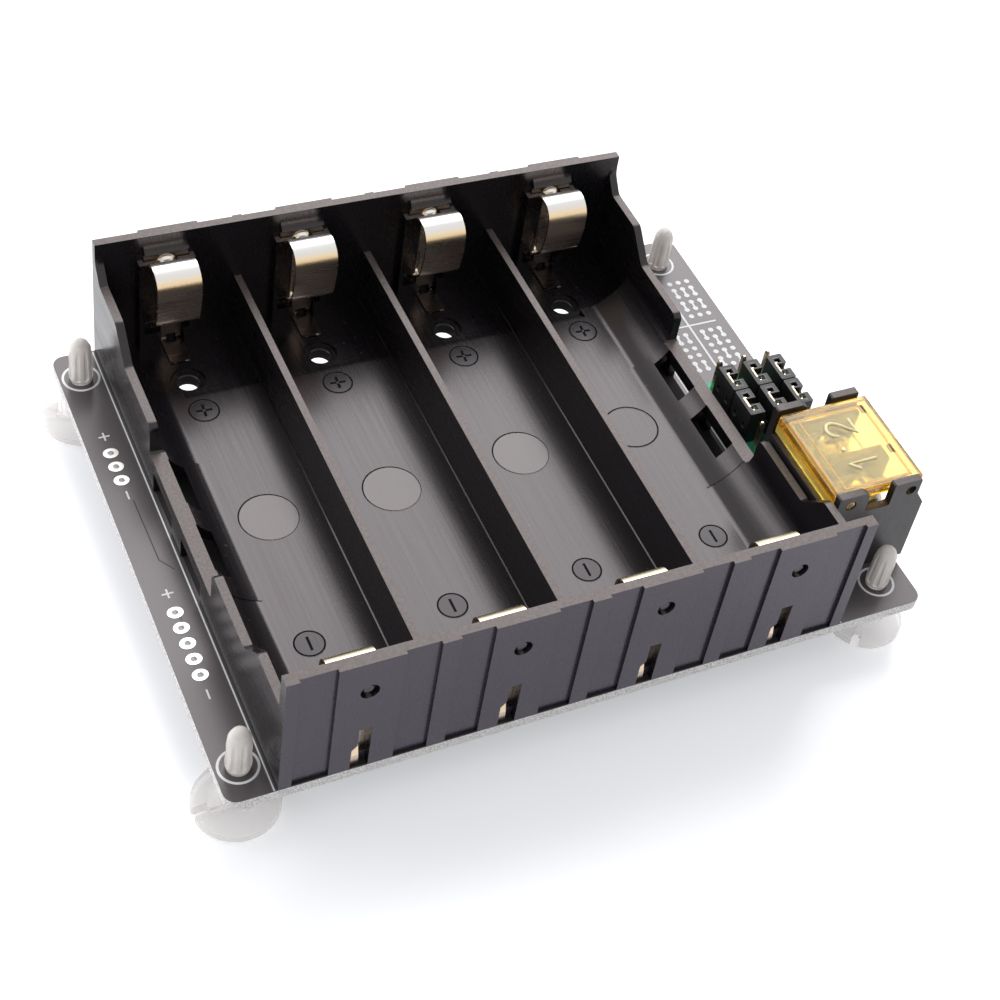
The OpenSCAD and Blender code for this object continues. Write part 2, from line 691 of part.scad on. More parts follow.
function term_bay_y(i) = term_wall + bay_gap / 2 + i * (bay_gap + term_wall);

module at_terminal() {
    translate([term_x, term_y, 0]) children();
}

module terminal_housing() {
    color("#1d1d20") place() at_terminal() difference() {
        union() {
            along_y(0, term_wall) polygon(ear_outline);
            along_y(term_l - term_wall, term_l) polygon(ear_outline);
            box([0, 0, 0], [term_w, term_l, term_floor_h]);
            box([0, 0, 0], [term_wall, term_l, term_back_h]);
            along_y((term_l - term_wall) / 2, (term_l + term_wall) / 2) polygon(barrier_outline);
        }
        for (x = [hinge_x, spare_hinge_x])
            translate([x, -cut, hinge_z]) rotate([-90, 0, 0])
                cylinder(d = hinge_hole_d, h = term_l + 2 * cut, $fn = 32);
        for (i = [0, 1]) translate([0, term_bay_y(i), 0]) {
            translate([screw_x, 0, 2.5]) cylinder(d = screw_d + 2 * shank_gap, h = term_floor_h);
            box([tab_x - seat_gap, -leg_half - seat_gap, -cut],
                [tab_x + tab_t + seat_gap, leg_half + seat_gap, term_floor_h + cut]);
        }
    }
}

// Cover that snaps between the ears and turns on two pins
module terminal_cover() {
    y0 = term_wall + cover_gap;
    y1 = term_l - term_wall - cover_gap;
    left = cover_side_gap[0];
    right = term_w - cover_side_gap[1];
    low = cover_top_h - cover_rim_h;
    color("#f0b41c", 0.75) place() at_terminal() {
        difference() {
            along_y(y0, y1) polygon(rounded([
                [left, low, 0.2], [right, low, 0.2], [right, cover_top_h, 0.5], [left, cover_top_h, 0.6]
            ]));
            box([left + cover_t, y0 + cover_t, low - cut],
                [right - cover_t, y1 - cover_t, cover_top_h - cover_t]);
        }
        for (y = [[pin_inset, y0 + 0.1], [y1 - 0.1, term_l - pin_inset]])
            translate([hinge_x, y[0], hinge_z]) rotate([-90, 0, 0])
                cylinder(d = hinge_hole_d - 2 * pin_gap, h = y[1] - y[0], $fn = 32);
    }
}

// Bent metal tab under a clamp, with its leg down to the board
module terminal_tab(n) {
    color("#d6d6d2") place() at_terminal() translate([0, term_bay_y(n - 1), 0]) difference() {
        union() {
            box([tab_x, -tab_half, term_floor_h], [term_w - 1, tab_half, term_floor_h + tab_t]);
            box([tab_x, -leg_half, 0], [tab_x + tab_t, leg_half, term_floor_h + 0.1]);
        }
        translate([screw_x, 0, term_floor_h - cut]) cylinder(d = screw_d + 2 * thread_gap, h = tab_t + 2 * cut);
    }
}

clamp_z = term_floor_h + tab_t + seat_gap;

// Square clamp washer with turned-up side lips
module terminal_clamp(n) {
    half = bay_gap / 2 - clamp_gap;
    color("#c9c9c4") place() at_terminal() translate([screw_x, term_bay_y(n - 1), clamp_z]) difference() {
        union() {
            linear_extrude(clamp_t) polygon(rounded([
                [-clamp_half_l, -half, clamp_r], [clamp_half_l, -half, clamp_r],
                [clamp_half_l, half, clamp_r], [-clamp_half_l, half, clamp_r]
            ]));
            for (s = [-1, 1])
                box([-clamp_lip_half_l, min(s * half, s * (half - lip_t)), clamp_t / 2],
                    [clamp_lip_half_l, max(s * half, s * (half - lip_t)), clamp_t + clamp_lip_rise]);
        }
        translate([0, 0, -cut]) cylinder(d = screw_d + 0.3, h = clamp_t + 2 * cut);
    }
}

// Pan-head terminal screw with a cross recess
module terminal_screw(n) {
    head_h = 2;
    head_z = clamp_z + clamp_t + head_gap;
    head_r = bay_gap / 2 - 2 * clamp_gap - lip_t;
    color("#dcdcd8") place() at_terminal() translate([screw_x, term_bay_y(n - 1), 0]) difference() {
        union() {
            translate([0, 0, screw_tip_z]) cylinder(d = screw_d, h = head_z - screw_tip_z + 0.1);
            translate([0, 0, head_z]) rotate_extrude() polygon([
                [0, 0], [head_r, 0], [head_r, head_h * 0.45], [head_r * 0.9, head_h * 0.75],
                [head_r * 0.62, head_h * 0.95], [0, head_h]
            ]);
        }
        for (a = [0, 90])
            translate([0, 0, head_z + head_h - 0.9]) rotate([0, 0, a])
                box([-head_r * 0.6, -0.4, 0], [head_r * 0.6, 0.4, 1.5]);
    }
}

// Nylon foot: notched disc, stem, and a fluted peg through the board
module foot(ix, iy) {
    shaft_r = peg_hole_d / 2 - 0.1;
    peg_r = peg_d / 2;
    top = deck_z + peg_h;
    turned = foot_turns[ix + 2 * iy];
    color("#ece9e0", 0.8) translate([peg_x[ix] - mid_x, peg_y[iy] - mid_y, 0])
    rotate([0, 0, turned]) difference() {
        rotate_extrude() polygon([
            [0, 0], [foot_d / 2 - 0.4, 0], [foot_d / 2, 0.4], [foot_d / 2, foot_t - 0.2],
            [foot_d / 2 - 0.3, foot_t], [foot_stem_d / 2 + 0.7, foot_t + 0.25], [foot_stem_d / 2, foot_t + 0.9],
            [foot_stem_d / 2, foot_h], [shaft_r, foot_h], [shaft_r, deck_z + 0.1],
            [peg_r * 0.86, deck_z + 0.15], [peg_r * 0.97, deck_z + 0.55], [peg_r, deck_z + 1.2],
            [peg_r * 0.93, deck_z + peg_h * 0.4], [peg_r * 0.95, deck_z + peg_h * 0.6],
            [peg_r * 0.86, top - 1.4], [peg_r * 0.64, top - 0.6], [peg_r * 0.35, top - 0.15], [0, top]
        ]);
        for (a = [0:flutes - 1])
            rotate([0, 0, 360 * a / flutes]) translate([peg_r + 0.12, 0, deck_z + 0.7])
                cylinder(d = 0.8, h = peg_h, $fn = 16);
        for (s = [-1, 1])
            box([min(s * foot_d / 2 + s, s * (foot_d / 2 - 2)), -0.6, -cut],
                [max(s * foot_d / 2 + s, s * (foot_d / 2 - 2)), 0.6, foot_t + cut]);
        box([-foot_d / 2 - cut, -0.35, -cut], [foot_d / 2 + cut, 0.35, 0.5]);
    }
}

cell_tray();
circuit_board();
for (i = [1:bays]) {
    spring_contact_front(i);
    spring_contact_back(i);
}
for (c = [1:3]) {
    header_base(c);
    header_pins(c);
}
for (n = [1:6]) {
    jumper(n);
    jumper_clip(n);
}
terminal_housing();
terminal_cover();
for (n = [1:2]) {
    terminal_tab(n);
    terminal_clamp(n);
    terminal_screw(n);
}
foot(0, 0);  // foot_front_left
foot(1, 0);  // foot_front_right
foot(0, 1);  // foot_back_left
foot(1, 1);  // foot_back_right
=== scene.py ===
# %% [markdown]
# # A tray holder for four cylindrical cells
# The holder is a black moulded tray screwed to a dark circuit board on nylon feet.
# The solids come from the CAD model. This script gives them rounded edges and finishes,
# adds the printed and moulded marks, and lights the whole for a plain studio picture.

import math

import bmesh
import bpy
from mathutils import Euler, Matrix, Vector


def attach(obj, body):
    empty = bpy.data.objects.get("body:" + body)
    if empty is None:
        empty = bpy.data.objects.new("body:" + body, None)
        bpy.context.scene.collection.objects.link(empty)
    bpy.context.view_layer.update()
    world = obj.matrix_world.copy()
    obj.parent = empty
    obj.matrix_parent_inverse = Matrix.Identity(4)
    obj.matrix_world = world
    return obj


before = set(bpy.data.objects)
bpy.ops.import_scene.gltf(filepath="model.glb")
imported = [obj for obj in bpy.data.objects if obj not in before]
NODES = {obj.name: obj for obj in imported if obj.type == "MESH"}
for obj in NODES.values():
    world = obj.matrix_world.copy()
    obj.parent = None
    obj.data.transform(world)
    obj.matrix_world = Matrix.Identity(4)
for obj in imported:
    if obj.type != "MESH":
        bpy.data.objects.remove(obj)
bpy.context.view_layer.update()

# %% [markdown]
# All measures below are in the tray's own millimetres: x and y from the tray's front left
# corner, z from the board's upper face. The frame has its origin under the middle of the
# whole holder instead, at MID_X and MID_Y, and counts in metres. One helper turns the one
# into the other, so a mark measured on the tray needs no other arithmetic.

# %% Measures
BOARD_TOP, BOARD_T = 8.2, 1.6
MID_X, MID_Y = 42.4, 38.5
TRAY_W, TRAY_L = 78.5, 77.0
FLOOR_TOP = 1.7
FIRST_BAY, BAY_PITCH, BAYS = 10.3, 19.3, 4
BAY_X = [FIRST_BAY + BAY_PITCH * i for i in range(BAYS)]
PIN_PITCH = 2.54


def spot(x, y, z):
    """A point of the tray, in the frame's metres."""
    return Vector((x - MID_X, y - MID_Y, z + BOARD_TOP)) / 1000


print("bay centres:", BAY_X)

# %% [markdown]
# The view settings stay plain, so a colour written here comes out about as written.

# %% View settings
scene = bpy.context.scene
scene.view_settings.view_transform = "Standard"
print("view transform:", scene.view_settings.view_transform)

# %% [markdown]
# The camera stands in front of the holder on its left, looking down at about 45 degrees.
# The picture is cropped off centre, and a lens shift gives that crop without turning the
# camera.

# %% Camera
CAMERA_AT = (-0.09425, -0.15914, 0.20689)
CAMERA_TURN = (44.662, -9.702, -26.023)
camera_data = bpy.data.cameras.new("camera")
camera_data.sensor_width = 36
camera_data.lens = 70.85
camera_data.shift_x, camera_data.shift_y = -0.1165, -0.0812
camera_data.clip_start, camera_data.clip_end = 0.01, 20
camera = bpy.data.objects.new("camera", camera_data)
camera.location = CAMERA_AT
camera.rotation_euler = Euler([math.radians(a) for a in CAMERA_TURN])
scene.collection.objects.link(camera)
scene.camera = camera
print("camera distance in mm:", round(1000 * Vector(CAMERA_AT).length))

# %% [markdown]
# Every finish below is a Principled shader fed by a few nodes, and a few helpers keep the
# node code short. One sets a socket to a plain value or joins another node's output to it,
# one does so for several sockets of a node by their names, and one makes a node and fills
# it. Colours are written as three numbers, and the first helper adds the fourth.


# %% Node helpers
def connect(tree, value, socket):
    """Sets a socket to a plain value, or joins another node's output to it."""
    if isinstance(value, bpy.types.NodeSocket):
        tree.links.new(value, socket)
    else:
        socket.default_value = (*value, 1) if socket.type == "RGBA" else value


def fill(tree, node, **inputs):
    """Fills the named inputs of a node. The keys i0, i1 and i2 are inputs by number."""
    for key, value in inputs.items():
        connect(tree, value, node.inputs[int(key[1:]) if key[1:].isdigit() else key.replace("_", " ")])


def add(tree, kind, settings=None, **inputs):
    """A node with its settings and its inputs."""
    node = tree.nodes.new(kind)
    for key, value in (settings or {}).items():
        setattr(node, key, value)
    fill(tree, node, **inputs)
    return node


def new_material(name):
    """A material with its node tree and its Principled shader."""
    material = bpy.data.materials.new(name)
    material.use_nodes = True
    return material, material.node_tree, material.node_tree.nodes["Principled BSDF"]


def group(name, ins, outs):
    """An empty node group with named sockets, and its two end nodes."""
    tree = bpy.data.node_groups.new(name, "ShaderNodeTree")
    for direction, sockets in (("INPUT", ins), ("OUTPUT", outs)):
        for socket, (kind, value) in sockets.items():
            made = tree.interface.new_socket(socket, in_out=direction, socket_type="NodeSocket" + kind)
            if value is not None:
                made.default_value = value
    return tree, tree.nodes.new("NodeGroupInput"), tree.nodes.new("NodeGroupOutput")


print("node helpers: connect, fill, add, new_material, group")

# %% [markdown]
# Five kinds of node turn up again and again: noise, a sum, a fade from one value to another,
# a blend of two colours, and a vector split into its three numbers. Each gets a short name
# and gives back its output, so one can be written inside another. The last helper reads
# which way the surface faces and where it lies, since many masks below are made of that.


# %% Short names for common nodes
def noise(tree, scale, detail, vector=None):
    """The grey of a noise texture."""
    place = {} if vector is None else {"Vector": vector}
    return add(tree, "ShaderNodeTexNoise", Scale=scale, Detail=detail, **place).outputs["Fac"]


def calc(tree, operation, *values, clamp=False):
    """The result of a Math node."""
    node = add(tree, "ShaderNodeMath", {"operation": operation, "use_clamp": clamp})
    for value, socket in zip(values, node.inputs):
        connect(tree, value, socket)
    return node.outputs[0]


def fade(tree, value, start=0.0, end=1.0, low=0.0, high=1.0):
    """Goes from low to high while the value goes from start to end."""
    limits = {"From_Min": start, "From_Max": end, "To_Min": low, "To_Max": high}
    return add(tree, "ShaderNodeMapRange", Value=value, **limits).outputs[0]


def blend(tree, factor, first, second, kind="RGBA", way="MIX"):
    """A mix of two colours, or of two values where kind is FLOAT."""
    settings = {"data_type": kind, "blend_type": way}
    return add(tree, "ShaderNodeMix", settings, Factor=factor, A=first, B=second).outputs["Result"]


def split(tree, vector):
    """The X, Y and Z of a vector."""
    return add(tree, "ShaderNodeSeparateXYZ", i0=vector).outputs


def surface(tree):
    """Which way the surface faces and where it is, both split."""
    geometry = add(tree, "ShaderNodeNewGeometry").outputs
    return split(tree, geometry["Normal"]), split(tree, geometry["Position"])


print("short names: noise, calc, fade, blend, split, surface")

# %% [markdown]
# Moulded plastic is never quite even. A shader node group makes its finish for all the
# plastics here, and each material sets the group's inputs for itself. Four noises feed it:
# a broad one for the mottle where the melt cooled, a fine one for the grain, one for dust,
# and one drawn out along the tray for faint streaks in the gloss.

# %% Moulded plastic group
moulded, m_in, m_out = group(
    "moulded plastic",
    {
        "Color": ("Color", (0.03, 0.03, 0.03, 1)),
        "Mottle": ("Float", 0.2),
        "Dust": ("Float", 0.2),
        "Roughness": ("Float", 0.35),
        "Worn tops": ("Float", 0.0),
    },
    {"Color": ("Color", None), "Roughness": ("Float", None), "Height": ("Float", None)},
)
m_coord = add(moulded, "ShaderNodeTexCoord").outputs["Object"]
m_large = noise(moulded, 90.0, 3.0, m_coord)
m_fine = noise(moulded, 2600.0, 2.0, m_coord)
m_specks = noise(moulded, 1500.0, 1.0, m_coord)
m_stretch = add(moulded, "ShaderNodeMapping", Vector=m_coord, Scale=(3000.0, 50.0, 600.0))
m_lines = noise(moulded, 1.0, 4.0, m_stretch.outputs["Vector"])
m_facing, m_place = surface(moulded)
print("group sockets:", [s.name for s in moulded.interface.items_tree])

# %% [markdown]
# The mottle makes the colour a little lighter and darker about its middle. Dust is the
# brightest spots of its noise, and it only lies on what faces up.

# %% Mottle and dust
DUST = (0.45, 0.44, 0.42)
m_mottle = calc(moulded, "MULTIPLY_ADD", calc(moulded, "SUBTRACT", m_large, 0.5), m_in.outputs["Mottle"], 1.0)
m_base = m_in.outputs["Color"]
m_shade = add(moulded, "ShaderNodeVectorMath", {"operation": "SCALE"}, i0=m_base, Scale=m_mottle)
m_lying = calc(moulded, "MULTIPLY", fade(moulded, m_specks, 0.74, 0.78), m_facing["Z"], clamp=True)
m_dust = calc(moulded, "MULTIPLY", m_lying, m_in.outputs["Dust"])
m_dusty = blend(moulded, m_dust, m_shade.outputs[0], DUST)
print("dust colour:", DUST)

# %% [markdown]
# Hands and cells rub the flat tops of the walls, and these level tops catch the light from
# above, so they are painted a sandy grey: part rubbed wear, part painted sheen. It belongs on
# what is level and high up, so one mask asks for the height and one for the facing.

# %% Rubbed wall tops, with painted sheen
WORN_LIT_FROM, WORN_LIT_FADE = 0.0135, 0.0003
m_high = fade(moulded, m_place["Z"], WORN_LIT_FROM - WORN_LIT_FADE, WORN_LIT_FROM)
m_level = fade(moulded, m_facing["Z"], 0.93, 0.98)
m_worn_lit = calc(moulded, "MULTIPLY", calc(moulded, "MULTIPLY", m_high, m_level), m_in.outputs["Worn tops"])
# Painted sheen and wear: the sandy grey of the level wall tops.
m_sand_sheen = blend(moulded, m_fine, (0.05, 0.04, 0.036), (0.22, 0.185, 0.17))
print("worn and lit tops above in mm:", 1000 * WORN_LIT_FROM)

# %% [markdown]
# The outer face of the front wall gets a painted bluish sheen, the light that face shows.
# It is found in the same way, by what faces the front and lies at the very front of the
# tray. The last lines feed the group's outputs: the rubbed tops with their painted sheen
# cover the rest and are evenly dull.

# %% Painted front sheen and group outputs
FRONT_FACE, FACE_FADE = (1.5 - MID_Y) / 1000, 0.0002
WORN_LIT_ROUGH = 0.5
m_south = fade(moulded, m_facing["Y"], -0.5, -0.9)
m_outer = fade(moulded, m_place["Y"], FRONT_FACE + FACE_FADE, FRONT_FACE)
# Painted sheen: the bluish tone of the outer front face.
m_front_sheen = blend(moulded, m_large, (0.02, 0.015, 0.03), (0.038, 0.032, 0.055))
m_with_front_sheen = blend(moulded, calc(moulded, "MULTIPLY", m_south, m_outer), m_dusty, m_front_sheen)
m_streak = calc(moulded, "MULTIPLY", m_in.outputs["Roughness"], fade(moulded, m_lines, 0.3, 0.7, 0.87, 1.15))
m_rough = blend(moulded, m_worn_lit, m_streak, WORN_LIT_ROUGH, "FLOAT")
fill(moulded, m_out, Color=blend(moulded, m_worn_lit, m_with_front_sheen, m_sand_sheen), Roughness=m_rough, Height=m_fine)
print("group nodes:", len(moulded.nodes))

# %% [markdown]
# The plastics differ only in colour, gloss and their rubbed, painted-sheen tops, so one
# function builds them all from the group. The grain goes through a Bump node into the
# shader's normal. The edge plastics are painted a little lighter than the faces: part
# rubbed wear, part painted highlight where the rounds catch the light.


# %% Plastic materials
def plastic(name, color, mottle=0.3, dust=0.1, rough=0.38, grain=0.2, specular=0.5, tint=(1, 1, 1), worn=0.0):
    """A moulded plastic with its own colour and gloss."""
    material, tree, shader = new_material(name)
    values = {"Color": color, "Mottle": mottle, "Dust": dust, "Roughness": rough, "Worn_tops": worn}
    finish = add(tree, "ShaderNodeGroup", {"node_tree": moulded}, **values).outputs
    bump = add(tree, "ShaderNodeBump", Strength=grain, Distance=0.00002, Height=finish["Height"])
    fill(tree, shader, Base_Color=finish["Color"], Roughness=finish["Roughness"])
    fill(tree, shader, Normal=bump.outputs["Normal"], Specular_IOR_Level=specular, Specular_Tint=tint)
    return material


tray_plastic = plastic(
    "tray plastic", (0.007, 0.006, 0.0075), mottle=0.5, dust=0.12, rough=0.26, grain=0.1,
    specular=0.57, tint=(1, 0.91, 0.94), worn=0.8)
tray_worn_lit_edge = plastic(
    "tray worn lit edge", (0.022, 0.018, 0.018), mottle=0.9, dust=0.3, rough=0.35, grain=0.1,
    specular=0.6, tint=(1, 0.9, 0.93), worn=1.0)
tray_sheen = plastic(
    "tray sheen", (0.038, 0.033, 0.033), rough=0.24, grain=0.05, specular=0.66, tint=(1, 0.92, 0.93))
mark_plastic = plastic(
    "mark plastic", (0.006, 0.005, 0.007), rough=0.24, grain=0.05, specular=0.38, tint=(1, 0.93, 0.98))
terminal_plastic = plastic(
    "terminal plastic", (0.012, 0.01, 0.011), mottle=0.4, dust=0.2,
    specular=0.55, tint=(1, 0.93, 0.95), worn=0.5)
terminal_worn_lit_edge = plastic("terminal worn lit edge", (0.045, 0.038, 0.036), mottle=0.5, dust=0.3, rough=0.4)
jumper_plastic = plastic("jumper plastic", (0.008, 0.008, 0.009), dust=0.3, specular=0.4)
jumper_worn_lit_edge = plastic("jumper worn lit edge", (0.04, 0.04, 0.042), dust=0.3)
header_plastic = plastic("header plastic", (0.03, 0.36, 0.2), dust=0.2, rough=0.4)
groove_painted_shade = plastic(
    "groove shade", (0.008, 0.007, 0.009), mottle=0.2, dust=0.0, rough=0.7, grain=0.1, specular=0.08)
track_shade = plastic("track shade", (0.035, 0.028, 0.027), rough=0.4, grain=0.05, specular=0.4)
print("plastics:", [m.name for m in bpy.data.materials])

# %% [markdown]
# The spring contacts are nickel-plated strip, and the pins are gold-plated. Real plating
# shows the faint lines of the rolled strip and a slightly warm tone. All six metals here
# need one uneven noise for that, so it is a node group too. Drawn out along the way of
# rolling, it sways the colour, the gloss and the height.

# %% Rolled metal group
LINES_LENGTHWISE, LINES_NONE = (40.0, 900.0, 900.0), (500.0, 500.0, 500.0)
rolled, r_in, r_out = group(
    "rolled metal",
    {
        "Color": ("Color", (0.9, 0.9, 0.9, 1)),
        "Warm color": ("Color", (0.8, 0.75, 0.7, 1)),
        "Roughness": ("Float", 0.3),
        "Stretch": ("Vector", LINES_LENGTHWISE),
    },
    {"Color": ("Color", None), "Roughness": ("Float", None), "Height": ("Float", None)},
)
r_coord = add(rolled, "ShaderNodeTexCoord").outputs["Object"]
r_stretch = add(rolled, "ShaderNodeMapping", Vector=r_coord, Scale=r_in.outputs["Stretch"])
r_lines = noise(rolled, 1.0, 4.0, r_stretch.outputs["Vector"])
r_color = blend(rolled, r_lines, r_in.outputs["Color"], r_in.outputs["Warm color"])
r_rough = calc(rolled, "MULTIPLY", r_in.outputs["Roughness"], fade(rolled, r_lines, low=0.75, high=1.3))
fill(rolled, r_out, Color=r_color, Roughness=r_rough, Height=r_lines)
print("group sockets:", [s.name for s in rolled.interface.items_tree])

# %% [markdown]
# Each metal is that group with two tones of its own, and the shader's Metallic at 1. Solder
# froze where it was and was never rolled, so its noise isn't drawn out.


# %% Metal materials
def metal(name, color, warm, rough, grain, stretch=LINES_LENGTHWISE):
    """A plated metal with fine rolled lines."""
    material, tree, shader = new_material(name)
    values = {"Color": color, "Warm_color": warm, "Roughness": rough, "Stretch": stretch}
    finish = add(tree, "ShaderNodeGroup", {"node_tree": rolled}, **values).outputs
    bump = add(tree, "ShaderNodeBump", Strength=grain, Distance=0.00001, Height=finish["Height"])
    fill(tree, shader, Base_Color=finish["Color"], Roughness=finish["Roughness"])
    fill(tree, shader, Normal=bump.outputs["Normal"], Metallic=1)
    return material


nickel = metal("contact nickel", (0.92, 0.9, 0.86), (0.82, 0.77, 0.68), rough=0.27, grain=0.08)
gold = metal("pin gold", (0.86, 0.76, 0.52), (0.78, 0.66, 0.42), rough=0.22, grain=0.1)
cream_metal = metal("bridge gold", (0.8, 0.68, 0.52), (0.6, 0.48, 0.34), rough=0.42, grain=0.06)
bump_nickel = metal("dimple nickel", (0.97, 0.96, 0.95), (0.9, 0.88, 0.84), rough=0.34, grain=0.03)
steel = metal("screw nickel", (0.5, 0.49, 0.46), (0.4, 0.38, 0.34), rough=0.28, grain=0.15)
solder = metal("solder tin", (0.86, 0.85, 0.82), (0.7, 0.69, 0.66), rough=0.3, grain=0.4, stretch=LINES_NONE)
print("metals:", [m.name for m in (nickel, gold, cream_metal, bump_nickel, steel, solder)])

# %% [markdown]
# The contacts are painted bright only where they face up, a painted highlight. Lower down
# their colour is painted a dark brown, a painted reflection of the black tray, and a golden
# band leads over to it. The way the surface faces picks the tone. The back contacts are
# cooler, and near the tray floor they are painted darker still, as painted shade.

# %% Contact painted light and shade
FLOOR_SHADE_FROM, FLOOR_SHADE_TO = 0.0133, 0.0118
tree = nickel.node_tree
n_shader = tree.nodes["Principled BSDF"]
n_plating = n_shader.inputs["Base Color"].links[0].from_socket
n_facing, n_place = surface(tree)
n_rear = calc(tree, "GREATER_THAN", n_place["Y"], 0.0)
# Painted shade: the back contacts darken low down, near the tray floor.
n_floor_shade = calc(tree, "MULTIPLY", fade(tree, n_place["Z"], FLOOR_SHADE_FROM, FLOOR_SHADE_TO), n_rear)
# Painted highlight where the strip faces up, painted reflection of the tray lower down.
n_reflected_band = blend(tree, fade(tree, n_facing["Z"], 0.05, 0.45), (0.78, 0.68, 0.61), (1.0, 0.8, 0.52))
n_lit_top = blend(tree, n_rear, (1.0, 0.93, 0.74), (0.86, 0.88, 0.93))
n_facing_light = blend(tree, fade(tree, n_facing["Z"], 0.5, 0.8), n_reflected_band, n_lit_top)
n_light_and_shade = blend(tree, n_floor_shade, n_facing_light, (0.17, 0.15, 0.15))
fill(tree, n_shader, Base_Color=blend(tree, 1.0, n_plating, n_light_and_shade, way="MULTIPLY"))
print("contact shading nodes:", len(tree.nodes))

# %% [markdown]
# The cover is clear amber plastic that lets light straight through, so it uses the shader's
# transmission. Its walls look deeper than its flat top, because the eye meets more plastic
# there. The marks on it are the same plastic in plain tones that are less clear.

# %% Amber plastic
amber, tree, shader = new_material("amber plastic")
amber_facing, _ = surface(tree)
amber_tone = blend(tree, calc(tree, "ABSOLUTE", amber_facing["Z"]), (1.0, 0.6, 0.07), (1.0, 0.77, 0.18))
amber_rough = fade(tree, noise(tree, 400.0, 2.0), low=0.08, high=0.16)
fill(tree, shader, Base_Color=amber_tone, Roughness=amber_rough)
fill(tree, shader, Transmission_Weight=0.88, IOR=1.4, Coat_Weight=0.1, Coat_Roughness=0.05)


def plain_amber(name, color, clear):
    """The amber in one plain tone, with its own clearness."""
    made = amber.copy()
    made.name = name
    base = made.node_tree.nodes["Principled BSDF"]
    made.node_tree.links.remove(base.inputs["Base Color"].links[0])
    fill(made.node_tree, base, Base_Color=color, Transmission_Weight=clear)
    return made


amber_mark = plain_amber("amber edge", (1.0, 0.56, 0.06), 0.45)
amber_digit = plain_amber("amber digit", (1.0, 0.92, 0.55), 0.12)
amber_side = plain_amber("amber side", (1.0, 0.8, 0.2), 0.6)
amber_shade = plain_amber("amber shade", (0.5, 0.36, 0.1), 0.7)
print("ambers:", [m.name for m in (amber, amber_mark, amber_digit, amber_side, amber_shade)])

# %% [markdown]
# The feet are milky nylon, which scatters light inside. The thin flange under the board is
# nearly clear and the peg above it is not, so alpha grows with height, and a little more
# round the rims, where the surface turns away from up.

# %% Nylon
FLANGE_Z, PEG_Z = 0.006, 0.0085
nylon, tree, shader = new_material("milky nylon")
nylon_facing, nylon_place = surface(tree)
nylon_tone = blend(tree, noise(tree, 500.0, 3.0), (0.95, 0.9, 0.86), (1.0, 0.97, 0.94))
nylon_body = fade(tree, nylon_place["Z"], FLANGE_Z, PEG_Z, 0.28, 0.92)
nylon_rim = fade(tree, nylon_facing["Z"], 0.7, 0.1, 0.0, 0.28)
fill(tree, shader, Base_Color=nylon_tone, Alpha=calc(tree, "ADD", nylon_body, nylon_rim))
fill(tree, shader, Roughness=0.25, Transmission_Weight=0.3, IOR=1.25)
print("nylon:", nylon.name)

# %% [markdown]
# A circuit board is a sheet of glass fibre in resin with a dark lacquer on both faces.
# The lacquer shows on faces that look up or down, and the cut edge shows the pale, speckled
# fibre. The way the surface faces tells the two apart. Under the tray the lacquer never
# sees light, so it is left dull and darker there.

# %% Board lacquer
UNDER_X, UNDER_Y = 0.3, 0.2
board_finish, tree, shader = new_material("board lacquer")
b_coord = add(tree, "ShaderNodeTexCoord").outputs["Object"]
b_facing, b_place = surface(tree)
b_flat = calc(tree, "GREATER_THAN", calc(tree, "ABSOLUTE", b_facing["Z"]), 0.6)
b_grain = fade(tree, noise(tree, 5200.0, 2.0, b_coord), 0.25, 0.62)
b_fibre = blend(tree, b_grain, (0.28, 0.27, 0.27), (0.95, 0.94, 0.93))
b_lacquer = blend(tree, noise(tree, 60.0, 2.0, b_coord), (0.07, 0.062, 0.065), (0.088, 0.079, 0.083))
b_color = blend(tree, b_flat, b_fibre, b_lacquer)
b_rough = fade(tree, b_flat, low=0.8, high=0.35)

b_from_middle = calc(tree, "SUBTRACT", b_place["X"], (TRAY_W / 2 - MID_X) / 1000)
b_under_x = calc(tree, "LESS_THAN", calc(tree, "ABSOLUTE", b_from_middle), (TRAY_W / 2 - UNDER_X) / 1000)
b_under_y = calc(tree, "LESS_THAN", calc(tree, "ABSOLUTE", b_place["Y"]), (TRAY_L / 2 - UNDER_Y) / 1000)
b_under = calc(tree, "MULTIPLY", b_under_x, b_under_y)
b_shade = blend(tree, b_under, b_color, (0.004, 0.004, 0.004))
b_matt = blend(tree, b_under, b_rough, 0.95, "FLOAT")
fill(tree, shader, Base_Color=b_shade, Roughness=b_matt)
fill(tree, shader, Specular_IOR_Level=0.75, Specular_Tint=(1, 0.93, 0.95))
print("board nodes:", len(tree.nodes))

# %% [markdown]
# The board's print is white ink, matt and never quite even in its cover.

# %% White ink
print_white, tree, shader = new_material("white print")
ink_tone = blend(tree, noise(tree, 1800.0, 2.0), (0.84, 0.86, 0.88), (0.95, 0.96, 0.97))
fill(tree, shader, Base_Color=ink_tone, Roughness=0.6)
print("ink:", print_white.name)

# %% [markdown]
# CAD solids have knife-sharp edges, and real mouldings never do: a small round catches
# a line of light on every edge. Modifiers add it without touching the CAD mesh. Weld joins
# the split corners, Decimate removes the flat triangles, and Bevel rounds what is sharp.
# The rounds take the second material, so an edge can be painted lighter than its faces,
# part wear and part painted highlight. A node takes the first finish whose key begins its
# name, so jumper_clip stands above jumper_.

# %% Finish the CAD nodes
SAME_POINT = 1e-6
SAME_PLANE, SHARP = math.radians(0.5), math.radians(40)


